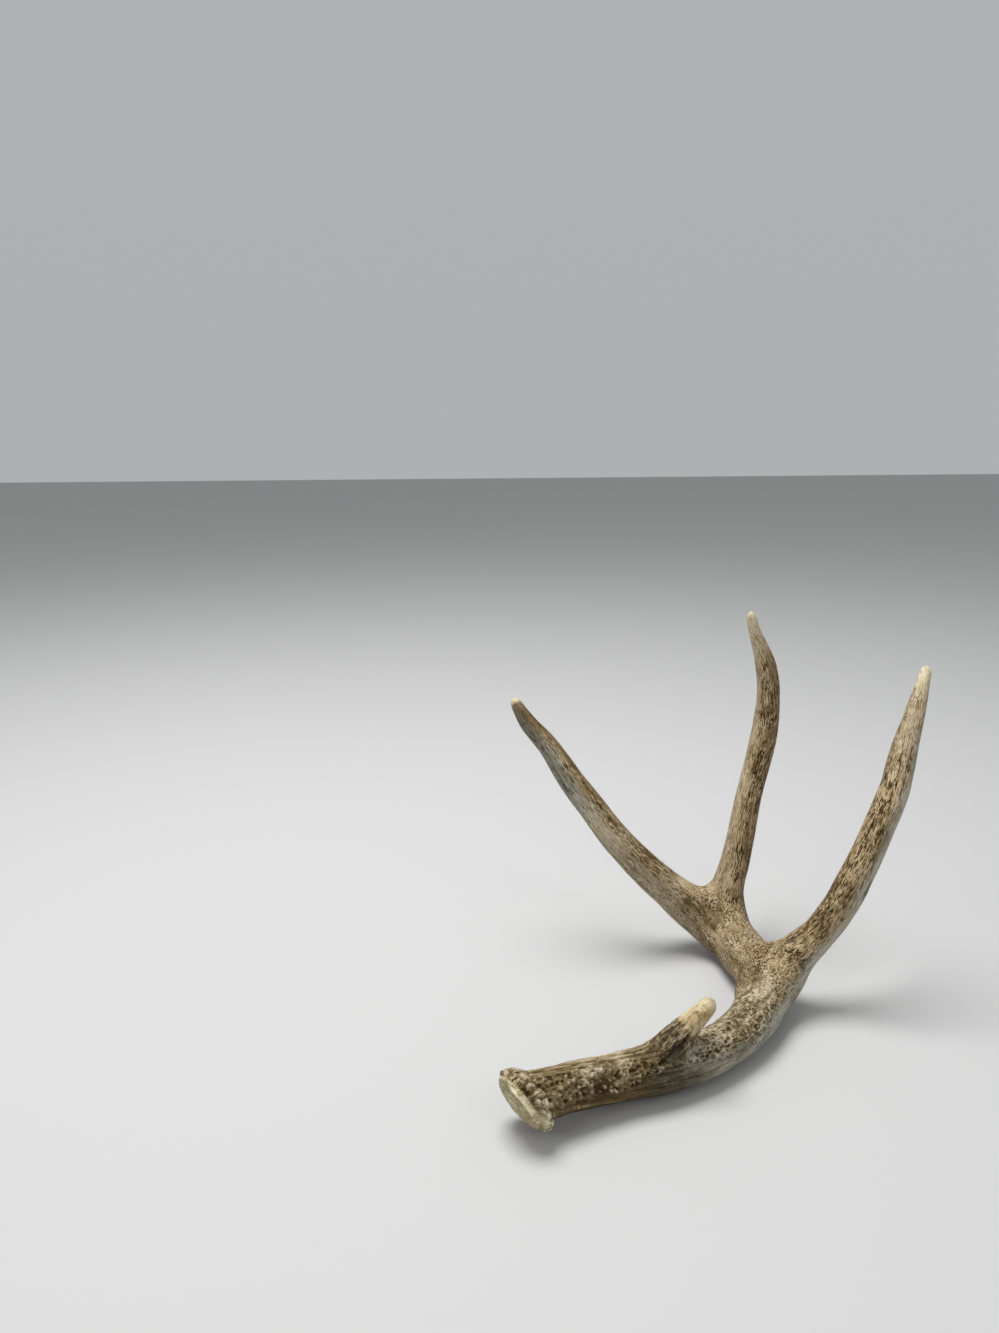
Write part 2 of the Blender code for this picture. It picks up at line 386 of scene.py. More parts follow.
WEB_WIDTH = 10.0  # the grain turns to round specks where two branches are about this equally far
PEARL_CLUSTER = (53, 479, 23, 10)  # x, y, z and reach
BROWNED_TIP = (106, 509, 44, 10)  # the same, of the brown flecks on the ivory of the brow tine
STRETCHES = {  # of the beam's length: where each starts and ends, and over what length it fades
    "base": (6, 88, 22),
    "pearls": (20, 72, 16),
    "hollow": (74, 106, 18),
    "net": (88, 185, 50),
    "worn": (98, 270, 20),
    "round": (130, 275, 50),
}
LAST_FORK = 262  # length of the beam past which it is finer and less worn
LAST_FORK_FADE = 30
IVORY_TIPS = (  # branch, where the polish starts to fade, over what length, and how ragged its edge is
    ("second_tine", 2, 30, 3),
    ("third_tine", 2, 24, 3),
    ("brow_tine", 17.0, 7, 6),
    ("main_beam", 2, 2.5, 0.5),
)
TINTS = (  # branch, stretch of it, the side that faces this way, and its tint
    ("second_tine", 0, 150, (-0.8, -0.45, 0.4), "warm"),
    ("second_tine", 10, 190, (0.85, -0.2, -0.5), "grey"),
    ("second_tine", 175, 240, (-0.2, -0.9, 0.3), "pale"),
    ("third_tine", 12, 190, (0.15, -0.98, 0.1), "warm"),
    ("third_tine", 12, 220, (-1.0, 0.0, 0.0), "pale"),
    ("main_beam", 275, 440, (0.65, 0.1, 0.75), "warm"),
    ("main_beam", 290, 400, (-0.55, -0.7, -0.4), "pale"),
    ("main_beam", 400, 480, (-0.5, -0.5, -0.3), "grey"),
)
KNOBS = (  # x, y, z and reach of a single swelling, its height and its change of tone: a stain, except on the boss past the third fork, where it is a painted highlight
    # a bump on the second tine and the pit beside it
    (226, 597, 113, 4.0, 1.0, -0.25),
    (222, 598, 109, 3.0, -0.5, 0.45),
    # the upper rim of the burr
    (15, 491, 33, 5.0, 1.0, -0.1),
    (-2, 477, 33, 6.0, 1.5, 0.1),
    # the web of the second fork
    (163, 620, 30, 26.0, 2.5, 0.0),
    (163, 605, 34, 14.0, 2.4, 0.0),
    # hollows inside the bend and under it
    (145, 597, 16, 22.0, -2.0, 0.0),
    (161, 600, -2, 38.0, -1.7, 0.0),
    # the boss past the third fork, painted pale: a painted highlight on its top
    (131, 667, 47.5, 13.0, 1.2, -0.6),
)
SMUDGES_AND_PAINTED_LIGHT = (  # x, y, z and reach of a darker or paler stretch, and its change of tone: mostly stains, with a painted highlight at the third fork and painted light on the third tine's root
    # the base
    (22, 480, 33, 9, 0.12),
    (46, 484, 29, 12, -0.24),
    (66, 493, 27, 9, -0.14),
    (76, 491, 22, 12, 0.12),
    (90, 498, 25, 12, 0.18),
    (102, 504, 26, 9, -0.22),
    # the bend
    (127, 550, 28, 26, 0.09),
    (141, 541, 27, 30, 0.08),
    (149, 587, 30, 18, 0.22),
    # the third fork and the beam past it
    (138, 655, 34, 22, 0.05),
    # painted highlight: a pale spot on the top edge at the third fork
    (122, 664, 49, 12, -0.34),
    (104, 661, 60, 20, -0.12),
    (75, 663, 78, 16, -0.1),
    (18, 687, 162, 22, 0.16),
    # the second tine
    (196, 588, 57, 22, -0.05),
    (205, 596, 78, 16, 0.06),
    (220, 596, 102, 10, 0.08),
    (234, 605, 128, 28, -0.14),
    (252, 624, 160, 24, 0.13),
    (268, 644, 189, 26, 0.05),
    # the third tine
    # painted light: paler on the front and right of the tine's root, which the lamps leave in shade
    (160, 663, 54, 14, -0.22),
    (162, 665, 65, 14, -0.2),
    (168, 673, 82, 16, -0.18),
    (159, 673, 84, 13, 0.12),
    (176, 684, 125, 13, 0.26),
    (169, 688, 136, 12, 0.34),
    (182, 693, 163, 7, 0.32),
    (176, 699, 205, 14, -0.1),
    (172, 700, 219, 22, -0.14),
)
TRAILS = (  # corners of a line on the skin, its half width, depth and stain
    # the crack under the brow tine and the ridge beside it
    (((100, 504, 34.5), (97, 503, 32.5), (93, 500.5, 30), (89, 498, 27.5), (84, 495, 25)), 1.9, 1.3, 0.9),
    (((104, 506, 39), (97, 504, 35.5), (91, 502, 33.5), (86, 500, 30)), 1.5, -0.7, -0.3),
    # a pale ridge and a dark line along the lower edge of the base
    (((38, 474, 15), (50, 481, 12), (63, 487, 9)), 1.1, -0.8, -0.3),
    (((38, 474, 17.5), (50, 481, 14.5), (63, 487, 11.5)), 1.2, 0.6, 0.3),
    # a thin line past the brow tine
    (((112, 508, 23), (120, 512, 22.5), (129, 519, 21.5), (138, 526, 20)), 0.9, 0.3, 0.4),
    # a pale band on the second fork and the dark stripe inside it
    (((150, 556, 29), (157, 564, 31), (165, 575, 34), (170, 580, 38)), 7.0, 0.0, -0.2),
    (((164, 592, 39), (159, 587, 36), (155, 580, 33), (150, 570, 30)), 4.0, 0.2, 0.3),
    # the dark root of the second tine
    (((185, 590, 46), (178, 588, 36), (170, 590, 30)), 6.0, 0.1, 0.22),
    # the dark hollow of the third fork
    (((126, 657, 40), (130, 656, 36.5), (135, 653.5, 32), (143, 646, 25)), 5.0, 0.2, 0.45),
    # a pale streak on the beam past it
    (((50, 672, 110), (60, 668, 98), (73, 664, 84)), 3.0, 0.0, -0.16),
)
MARKS = ("stain", "rust", "grey", "ivory", "seal", "web", "crisp", "flow")  # that the material reads


class Site:
    """What relief and markings read at each point of the shared skin.

    The last number that a noise takes is its seed.
    """

    BLEND = 3.0  # mm of distance over which one branch's pattern gives way to the next one's

    def __init__(self, points, found):
        self.points = points
        self.found = found
        gaps = np.stack([found[name].gap for name in BRANCHES])
        share = np.exp((gaps.min(axis=0) - gaps) / self.BLEND)
        self.share = dict(zip(BRANCHES, share / share.sum(axis=0)))
        self.outward = unit(sum(self.share[n][:, None] * found[n].outward for n in BRANCHES))
        self.s = found["main_beam"].s
        self.beam = self.share["main_beam"]
        outer = unit(points[:, :2] - BEND_CENTRE)
        self.outer = dot(self.outward[:, :2], outer)
        self.up = self.outward[:, 2]

    def along(self, name):
        """Length s along a branch."""
        return self.found[name].s

    def stretch(self, name):
        """1 on this stretch of the beam, falling to 0 at its ends."""
        return between(self.s, *STRETCHES[name])

    def past_forks(self):
        """1 past the beam's last fork, falling to 0 before it."""
        return ease((self.s - LAST_FORK) / LAST_FORK_FADE)

    def streaks(self, width, length, seed):
        """Noise drawn out along the branches: width mm across them and length mm along them."""
        total = 0.0
        square = 0.0
        stretch = np.array((1 / width, 1 / width, 1 / length))
        for k, name in enumerate(BRANCHES):
            share = self.share[name]
            total = total + share * straight_noise(self.found[name].flow * stretch + 7.3, seed + 100 * k)
            square = square + share**2
        return total / np.sqrt(square)

    def lumpy(self, size, seed):
        """Noise with cells of one size in every direction."""
        return noise(self.points / size, seed)

    def lean(self, direction):
        """1 where the skin faces this way, -1 where it faces the other way."""
        return self.outward @ (np.array(direction) / np.linalg.norm(direction))

    def spot(self, x, y, z, reach):
        """1 at a place, falling to 0 at this reach from it."""
        return 1 - ease(np.linalg.norm(self.points - (x, y, z), axis=1) / reach)

    def trail(self, corners, width, ragged):
        """1 on the line through the corners, falling to 0 at a distance of width / ragged from it."""
        apart = np.full(len(self.points), 99.0)
        for start, end in zip(corners[:-1], corners[1:]):
            start = np.array(start, float)
            run = np.array(end, float) - start
            off = self.points - start
            part = np.clip(off @ run / dot(run, run), 0, 1)
            apart = np.minimum(apart, np.linalg.norm(off - part[:, None] * run, axis=1))
        return 1 - ease(apart / width * ragged)

    def threads(self, width, length, size, seed):
        """Thin wandering ridges: 1 on the zero line of a drawn-out noise, falling to 0 beside it."""
        value = self.streaks(width, length, seed) + 0.5 * self.lumpy(size, seed + 1)
        return 1 - ease(np.abs(value) / 0.33)


def net_cells(site, size, seed):
    """(nearest, second, chance) of cells drawn out a little along the beam, on wavering coordinates."""
    flow = site.found["main_beam"].flow.copy()
    for k in range(3):
        flow[:, k] += 0.4 * size * site.lumpy(size * 0.8, seed + k)
    return cells(flow / np.array((size, size, size * 1.4)) + 5.0, seed + 5)


def zones(site):
    """Where each kind of skin lies, 0 to 1: the base, its top, front and underside, the smooth hollow
    behind the brow tine, the netted stretch, the worn grey outer side, the sides of the tines and the
    ivory tips. Grain is a noise, and patch is where brown patches lie."""
    beam = site.beam
    waver = 0.3 * site.streaks(3, 22, 31) + 0.2 * site.lumpy(3.0, 32)
    lower = 0.8 * site.outer - 0.62 * site.up + waver
    zone = dict.fromkeys(("warm", "pale", "ivory"), 0.0)
    zone["base"] = beam * site.stretch("base")
    zone["under"] = zone["base"] * ease((lower - 0.35) / 0.4)
    zone["top"] = zone["base"] * ease((site.lean(CREASED) + 0.12 * site.lumpy(9, 33) - 0.66) / 0.22)
    brow_root = 1 - ease((site.along("brow_tine") - 24 + 8 * waver) / 12)
    zone["brow_root"] = site.share["brow_tine"] * brow_root
    zone["furrowed"] = np.clip(zone["top"] + zone["brow_root"], 0, 1)
    zone["front"] = zone["base"] - zone["under"] - 0.85 * np.minimum(zone["top"], zone["base"])
    zone["front"] = np.clip(zone["front"], 0, 1)
    zone["hollow"] = beam * site.stretch("hollow") * ease((lower - 0.05) / 0.35)
    zone["net"] = beam * site.stretch("net") * (1 - ease((lower - 0.35) / 0.35))
    zone["grey"] = beam * site.stretch("worn") * ease((lower - 0.25) / 0.4)
    zone["grey"] = zone["grey"] + 0.45 * beam * site.past_forks() * ease((lower - 0.3) / 0.4)
    for name, low, high, direction, tint in TINTS:
        side = between(site.along(name), low, high, 30) * ease((site.lean(direction) + waver - 0.1) / 0.6)
        zone[tint] = zone[tint] + site.share[name] * side
    for name, start, length, ragged in IVORY_TIPS:
        left = BRANCHES[name].length - site.along(name) + ragged * site.streaks(1.3, 9, 34)
        zone["ivory"] = zone["ivory"] + site.share[name] * (1 - ease((left - start) / length))
    zone["grain"] = 0.6 * site.streaks(1.1, 14, 42) + 0.5 * site.streaks(0.75, 5, 43)
    zone["patch"] = brown_patches(site, zone)
    return zone


def brown_patches(site, zone):
    """Ragged patches, thickest on warm sides, and hardly any on the base or the brow tine's root."""
    cloud = 0.7 * site.streaks(2.6, 22, 44) + 0.6 * site.lumpy(6, 46) + 0.5 * zone["grain"]
    patch = ease((cloud + 0.4 * zone["warm"] - 0.35 * zone["pale"] - 0.2) / 0.4)
    return patch * (1 - 0.8 * zone["base"]) * (1 - zone["brow_root"])


def plain_skin(site, zone):
    """Everywhere: low swells, grain along the branch and brown patches."""
    grain, patch = zone["grain"], zone["patch"]
    second, third = site.share["second_tine"], site.share["third_tine"]
    height = 0.3 * site.lumpy(11, 47) + 0.1 * grain - 0.12 * patch
    upper = 1 - ease((260 - site.s) / 60) * site.beam
    dark = 0.15 + 0.14 * second + 0.07 * third
    stain = 0.44 - 0.03 * upper - 0.1 * second - 0.08 * third
    stain = stain + 0.12 * grain + dark * patch + 0.06 * zone["warm"] - 0.14 * zone["pale"]
    return height, stain + 0.1 * site.lumpy(16, 48) + 0.14 * site.streaks(4, 45, 49)


def furrowed_skin(site, zone):
    """The top of the base and the root of the brow tine: long furrows with thin ridges between them."""
    brow = site.share["brow_tine"]
    line = (1 - brow) * site.streaks(1.25, 22, 51) + brow * site.streaks(0.7, 26, 53)
    line = line + (0.22 - 0.1 * brow) * site.lumpy(2.5, 52)
    furrow = 1 - ease((np.abs(line) - 0.03) / (0.22 - 0.06 * brow))
    ridge = ease((np.abs(line) - 0.3) / 0.2)
    stain = zone["furrowed"] * ((0.4 + 0.36 * brow) * furrow - 0.28 * ridge) + 0.24 * zone["brow_root"]
    return zone["furrowed"] * (0.35 * ridge - 0.7 * furrow), stain


def pearl_cluster(site):
    """1 in the one dark cluster of pearls, falling to 0 round it."""
    return ease(1.7 * site.spot(*PEARL_CLUSTER))


def crumbly_skin(site, zone):
    """The front of the base: wandering threads and crumbs of pale bone over brown ground with pits."""
    thread = np.maximum(site.threads(2.0, 3.6, 1.9, 54), site.threads(2.6, 2.6, 2.2, 56))
    near, _, chance = cells(site.points / 2.6 + 3.0, 58)
    crumb = ease(1.5 - near / 0.38) * (chance < 0.45)
    pale = np.maximum(thread, crumb)
    pit = ease((site.lumpy(2.2, 59) + 0.1) / 0.4) * (1 - pale)
    height = 0.8 * thread + 1.1 * crumb - 0.7 * pit
    front = zone["front"] * (1 - 0.8 * pearl_cluster(site))
    return front * height, front * (0.22 - 0.24 * thread - 0.3 * crumb + 0.28 * pit)


def netted_skin(site, zone):
    """Between the brow tine and the first fork: a lace of thin pale walls round brown cells, clearest
    near the brow tine and broken into crumbs farther on."""
    near, second, _ = net_cells(site, 2.4, 61)
    wall = 1 - ease((second - near) / 0.3)
    thread = site.threads(1.9, 4.2, 2.0, 68)
    crumbs = ease((site.s - 105) / 40)
    lace = np.maximum(wall * (1 - 0.5 * crumbs), thread * (0.4 + 0.6 * crumbs))
    lace = lace * (0.85 + 0.5 * site.lumpy(2.2, 69))
    well = ease(1.2 - near / 0.4) * (1 - crumbs)
    net = zone["net"]
    return net * (0.7 * lace - 0.3 * well - 0.15), net * (0.22 - 0.72 * lace + 0.4 * well)


def worn_and_shaded_skin(site, zone):
    """The underside, the hollow and the worn outer side: smooth, with fine lines along the beam; the
    underside is painted darker as shade.
    """
    fine = site.streaks(0.9, 14, 71) + 0.5 * site.streaks(0.7, 5, 72)
    smooth = np.clip(zone["under"] + zone["hollow"] + zone["grey"], 0, 1)
    # painted shade: the base's underside, which faces down and away from the lamps, is painted darker
    stain = 0.22 * zone["under"] + 0.08 * zone["hollow"] + 0.12 * smooth * fine
    stain = stain - 0.24 * zone["grey"] * (1 - zone["hollow"]) * (1 - 0.6 * site.past_forks())
    return 0.08 * smooth * fine, stain


def pearly_skin(site, zone):
    """Pearls: domes on the nearest of scattered points, thickest in one cluster on dark ground."""
    cluster = pearl_cluster(site)
    near, _, chance = cells(site.points / 2.8 + 9.0, 60)
    likely = (0.14 + 0.16 * site.stretch("pearls")) * (zone["base"] - zone["under"] - zone["top"])
    pearl = (chance < likely + 0.9 * cluster) * np.sqrt(np.clip(1 - (near / 0.4) ** 2, 0, 1))
    pearl = pearl * ease(zone["base"] * 4)
    return 1.4 * pearl - 0.4 * cluster, 0.42 * cluster * (1 - pearl) - 0.38 * pearl


def single_features(site, _):
    """Knobs, smudges and spots of painted light, and lines along the skin."""
    drawn = 1 + 0.5 * site.streaks(1.6, 9, 37)
    ragged = 1 + 0.5 * site.lumpy(3.0, 35) + 0.3 * site.streaks(1.2, 5, 36)
    height = 0.0
    stain = 0.0
    for x, y, z, reach, rise, shade in KNOBS:
        spot = site.spot(x, y, z, reach)
        height = height + rise * spot
        stain = stain + shade * spot
    for x, y, z, reach, shade in SMUDGES_AND_PAINTED_LIGHT:
        stain = stain + shade * site.spot(x, y, z, reach) * drawn
    for corners, width, depth, shade in TRAILS:
        trail = site.trail(corners, width, ragged)
        height = height - depth * trail
        stain = stain + shade * trail
    return height, stain


SKINS = (
    plain_skin,
    furrowed_skin,
    crumbly_skin,
    netted_skin,
    worn_and_shaded_skin,
    pearly_skin,
    single_features,
)


def round_specks(site):
    """1 where specks lie round and not along the grain: in the forks past the base, and partly on the
    bend."""
    close = np.sort(np.stack([near.gap for near in site.found.values()]), axis=0)
    fork = ease(1 - (close[1] - close[0]) / WEB_WIDTH) * ease((site.s - 150) / 30)
    return np.maximum(fork, 0.7 * site.beam * site.stretch("round"))


def polish(site):
    """The stain of the ivory tips: nearly even, with brown flecks on the brow tine's."""
    even = 0.2 + 0.14 * site.lumpy(5, 75) + 0.12 * site.lumpy(1.6, 76)
    browned = 0.25 + 0.35 * ease((site.lumpy(0.9, 77) - 0.2) / 0.3)
    return even + site.share["brow_tine"] * (0.08 + browned * site.spot(*BROWNED_TIP))


def crispness(site, zone, web):
    """How dark the specks are: most on brown patches and warm sides, least on worn skin and ivory."""
    mottle = ease((site.lumpy(7, 78) + 0.5 * site.streaks(2.5, 12, 79) + 0.3) / 0.6)
    crisp = 0.26 + 0.32 * zone["patch"] + 0.14 * zone["warm"] + 0.28 * web
    crisp = crisp * (0.5 + 0.65 * mottle) + 0.16 * site.share["second_tine"] * zone["warm"]
    worn = zone["grey"] * (1 - 0.8 * site.past_forks()) + zone["hollow"]
    calm = np.clip(0.6 * zone["base"] + 0.5 * worn + 0.3 * zone["net"], 0, 0.7)
    return crisp * (1 - calm) * (1 - 0.4 * zone["ivory"])


def relief_and_marks(site):
    """(height, marks): height over the skin in mm, and all of MARKS but flow.

    Stain picks a tone from pale to dark, and in a few places carries painted highlights, painted shade and
    painted light; the others are masks from 0 to 1.
    """
    zone = zones(site)
    height = 0.0
    stain = 0.0
    for skin in SKINS:
        rise, shade = skin(site, zone)
        height = height + rise
        stain = stain + shade
    ivory = zone["ivory"]
    web = round_specks(site)
    bleached = 0.1 * zone["pale"] + 0.35 * zone["brow_root"] + 0.25 * zone["net"]
    grey = zone["grey"] + 0.8 * zone["hollow"] + 0.1 * zone["front"] + bleached
    rust = 0.4 * (1 - site.beam) + 0.5 * zone["patch"] + 0.45 * zone["warm"] + 0.5 * web
    marks = {
        "stain": stain * (1 - ivory) + polish(site) * ivory,
        "grey": np.clip(grey, 0, 1),
        "rust": np.clip(rust - 0.5 * zone["grey"], 0, 1),
        "ivory": ivory,
        "seal": np.zeros(len(ivory)),
        "web": web,
        "crisp": crispness(site, zone, web),
    }
    return height * (1 - 0.8 * ivory), marks


# --- Meshes ------------------------------------------------------------------------------------------


def tube_faces(ring_count, sides, first_pole, last_pole):
    """Quads between neighbouring rings, and a fan of triangles to each pole, as index arrays."""
    i, j = np.meshgrid(np.arange(ring_count - 1), np.arange(sides), indexing="ij")
    k = (j + 1) % sides
    quads = np.stack([i * sides + j, i * sides + k, (i + 1) * sides + k, (i + 1) * sides + j], -1)
    j = np.arange(sides)
    k = (j + 1) % sides
    last = (ring_count - 1) * sides
    start = np.stack([k, j, np.full(sides, first_pole)], -1)
    end = np.stack([last + j, last + k, np.full(sides, last_pole)], -1)
    return quads.reshape(-1, 4), np.concatenate([start, end])


def closed_tube(name, grid, poles, marks, material):
    """A mesh object from rings of points, the two points that close its ends, and its marks."""
    ring_count, sides, _ = grid.shape
    points = np.concatenate([grid.reshape(-1, 3), poles])
    quads, fans = tube_faces(ring_count, sides, len(points) - 2, len(points) - 1)
    corners = np.concatenate([quads.ravel(), fans.ravel()])
    starts = np.concatenate([np.arange(len(quads)) * 4, len(quads) * 4 + np.arange(len(fans)) * 3])
    mesh = bpy.data.meshes.new(name)
    mesh.vertices.add(len(points))
    mesh.vertices.foreach_set("co", ((points - ORIGIN) * METRES).astype(np.float32).ravel())
    mesh.loops.add(len(corners))
    mesh.loops.foreach_set("vertex_index", corners.astype(np.int32))
    mesh.polygons.add(len(starts))
    mesh.polygons.foreach_set("loop_start", starts.astype(np.int32))
    mesh.update(calc_edges=True)
    mesh.validate()
    mesh.shade_smooth()
    for key, values in marks.items():
        if values.ndim == 2:
            made = mesh.attributes.new(key, "FLOAT_VECTOR", "POINT")
            made.data.foreach_set("vector", values.astype(np.float32).ravel())
        else:
            made = mesh.attributes.new(key, "FLOAT", "POINT")
            made.data.foreach_set("value", values.astype(np.float32))
    mesh.materials.append(material)
    piece = bpy.data.objects.new(name, mesh)
    bpy.context.scene.collection.objects.link(piece)
    return piece


def spread(stops):
    """Stations from (position, spacing) stops: the spacing changes evenly from stop to stop."""
    places, spacings = np.array(stops, float).T
    s = places[0]
    stations = []
    while s < places[-1]:
        stations.append(s)
        s += np.interp(s, places, spacings)
    stations = np.array(stations)
    return places[0] + (stations - places[0]) * (places[-1] / stations[-1])


def rounded_end(s, length, blunt):
    """1 along a branch, falling to 0 over its last stretch as a quarter circle does."""
    return np.sqrt(1 - np.clip((s - length + blunt) / blunt, 0.0, 1.0) ** 2)


def with_poles(values, sides):
    """Marks of a grid and of its two poles, which take the mean of the first and last ring."""
    ends = [values[:sides].mean(axis=0, keepdims=True), values[-sides:].mean(axis=0, keepdims=True)]
    return np.concatenate([values] + ends)


def grown_piece(name, stops, sides, blunt, material):
    """One branch as a closed tube of skin, relief and marks. A tine starts inside the beam, and the
    beam starts with its burr and seal."""
    grid = Grid(name, spread(stops), sides)
    site = Site(grid.points, grid.found)
    height, marks = relief_and_marks(site)
    marks["flow"] = grid.found[name].flow
    if name == "main_beam":
        knobs, knob_stain, marks["seal"] = burr_relief(grid.s, grid.angle)
        height = height + knobs
        marks["stain"] = marks["stain"] + knob_stain
    reach = (grid.reach + height - grid.under) * rounded_end(grid.s, grid.length, blunt)
    points = (grid.starts + grid.rays * reach[:, None]).reshape(*grid.shape, 3)[:-1]
    marks = {key: values[:-sides] for key, values in marks.items()}
    first_pole = grid.starts[0]
    if name == "main_beam":
        seal, seal_marks = seal_cap(first_pole, points[0], grid.angle[:sides])
        points = np.concatenate([seal, points])
        marks = {key: np.concatenate([seal_marks[key], values]) for key, values in marks.items()}
        first_pole = first_pole + SEAL_NORMAL * SEAL_BULGE
    marks = {key: with_poles(values, sides) for key, values in marks.items()}
    return closed_tube(name + "_bone", points, [first_pole, grid.starts[-1]], marks, material)


def seal_cap(centre, rim, angle):
    """(rings, marks) of the seal: a bumpy cushion inside the burr's rim, with a lip on one side of it. The
    lip is painted pale: a painted highlight where it faces up to the light.

    The radius of each ring is the rim's times the sine of evenly spaced angles, and its height is the
    bulge times (1 - r^p)^(1/p) for that share r.
    """
    share = np.sin(np.linspace(0, np.pi / 2, SEAL_RINGS + 1)[1:-1])
    rings = centre + (rim - centre) * share[:, None, None]
    flat = rings.reshape(-1, 3)
    bumps = 0.25 * noise(flat / 2.6, 81) + 0.12 * noise(flat / 0.9, 82)
    cushion = (1 - share**SEAL_POWER) ** (1 / SEAL_POWER)
    lit_crest = np.exp(-(((share - CREST_SHARE) / CREST_WIDTH) ** 2))[:, None]
    lit_crest = lit_crest * facing(angle, CREST_ANGLE, CREST_SPAN)
    lift = SEAL_BULGE * cushion[:, None] * (1 + 0.5 * bumps.reshape(lit_crest.shape)) + CREST_HEIGHT * lit_crest
    rings = rings + SEAL_NORMAL * lift[:, :, None]
    flat = rings.reshape(-1, 3)
    marks = dict.fromkeys(MARKS, np.zeros(len(flat)))
    # the lip is painted paler than the seal: a painted highlight where it faces up to the lamp overhead
    marks["stain"] = 0.45 + 0.2 * noise(flat / 4, 83) + 0.25 * noise(flat / 1.4, 84) - 0.6 * lit_crest.ravel()
    marks["web"] = np.full(len(flat), 1.0)
    marks["crisp"] = np.full(len(flat), 0.2)
    marks["seal"] = np.full(len(flat), 1.0)
    marks["flow"] = flat
    return rings, marks


def facing(angle, centre, span):
    """1 on the stretch of a ring within span/2 of the centre angle (degrees), with soft ends."""
    apart = np.abs((np.degrees(angle) - centre + 180) % 360 - 180)
    return ease((span / 2 - apart) / 20 + 0.5)


def burr_relief(s, angle):
    """(height, stain, worn) of the burr: it flares from the seal's rim to a ring of knobs with dark
    clefts, worn as pale as the seal on one side.

    The knobs are the cells of points scattered round the beam, each with a crown of its own height.
    """
    round_it = np.stack([np.cos(angle), np.sin(angle)], axis=1) * BURR_RADIUS / KNOB_SIZE
    near, second, chance = cells(np.column_stack([round_it + 9, s / KNOB_SIZE * 0.8 + 0.4]), 91)
    cleft = 1 - ease((second - near) / 0.22)
    crown = (1 - near**2) * (0.5 + 0.7 * chance)
    flare = ease((s + 1.5) / 5.0) * (1 - ease((s - 4.0) / (BURR_LENGTH - 4.0)))
    ring = between(s, 0.8, BURR_LENGTH - 1.5, 2.0)
    trench = facing(angle, CREST_ANGLE + 10, CREST_SPAN) * between(s, 0.6, 2.4, 1.0)
    worn = facing(angle, WORN_ANGLE, WORN_SPAN) * (1 - ease((s - 4.5) / 3.0))
    height = BURR_FLARE * flare + ring * (1.6 * crown - 1.4 * cleft - 0.8) - 1.0 * trench
    stain = ring * (0.32 * cleft + 0.02 - 0.34 * crown) + 0.35 * trench
    return height, stain, worn


# --- Finishes ----------------------------------------------------------------------------------------


def node(tree, kind, **values):
    """A new shader node; values named as inputs are set on its sockets, others on the node."""
    made = tree.nodes.new(kind)
    for key, value in values.items():
        if key in made.inputs:
            made.inputs[key].default_value = value
        else:
            setattr(made, key, value)
    return made


def ramp(tree, stops):
    """A colour ramp with these (place, colour) stops."""
    made = tree.nodes.new("ShaderNodeValToRGB")
    elements = made.color_ramp.elements
    while len(elements) < len(stops):
        elements.new(0.5)
    for element, (place, colour) in zip(elements, stops):
        element.position = place
        element.color = (*colour, 1.0)
    return made


# Ramps: from the palest tone, at 0, to the darkest, at 1.
TAN = (  # plain bone
    (0.0, (0.50, 0.42, 0.29)),
    (0.25, (0.31, 0.245, 0.155)),
    (0.5, (0.165, 0.117, 0.05)),
    (0.75, (0.076, 0.047, 0.012)),
    (1.0, (0.034, 0.016, 0.002)),
)
RUST = (  # warm and brown bone
    (0.0, (0.47, 0.36, 0.21)),
    (0.25, (0.29, 0.205, 0.11)),
    (0.5, (0.15, 0.094, 0.03)),
    (0.75, (0.066, 0.036, 0.006)),
    (1.0, (0.028, 0.012, 0.001)),
)
GREY = (  # worn bone
    (0.0, (0.43, 0.40, 0.33)),
    (0.25, (0.28, 0.255, 0.195)),
    (0.5, (0.155, 0.14, 0.095)),
    (0.75, (0.07, 0.06, 0.035)),
    (1.0, (0.022, 0.017, 0.008)),
)
SEAL = (  # the seal and the worn side of the burr's rim
    (0.0, (0.78, 0.71, 0.49)),
    (0.5, (0.38, 0.31, 0.17)),
    (1.0, (0.16, 0.12, 0.05)),
)
IVORY = (  # the tips
    (0.0, (0.62, 0.56, 0.41)),
    (0.3, (0.52, 0.43, 0.26)),
    (0.6, (0.30, 0.20, 0.085)),
    (1.0, (0.05, 0.026, 0.008)),
)

SPECULAR = 0.18
BONE_ROUGHNESS = 0.6
IVORY_ROUGHNESS = 0.34
DASHES = ((0.75, 5.5), (0.42, 2.4))  # width and length in mm of the large and the small specks
SMALL_DARKNESS = 0.85  # of the small specks, as a share of the large ones'
SMALL_DEPTH = 0.6
SPECK_DEPTH = 0.25  # mm
SPECK_BUMP = 0.35  # strength of the bump that they make
ROUND_SIZE = 0.6  # how often round specks come, as a share of how often dashes do across the grain
SPECK_RANGE = {"From Min": 0.45, "From Max": 0.61, "To Min": -0.5, "To Max": 1.05}
MIX_FLOATS = (2, 3)  # numbers of a Mix node's two inputs when it mixes floats
MIX_COLOURS = (6, 7)  # and when it mixes colours
MIX_COLOUR_OUT = 2


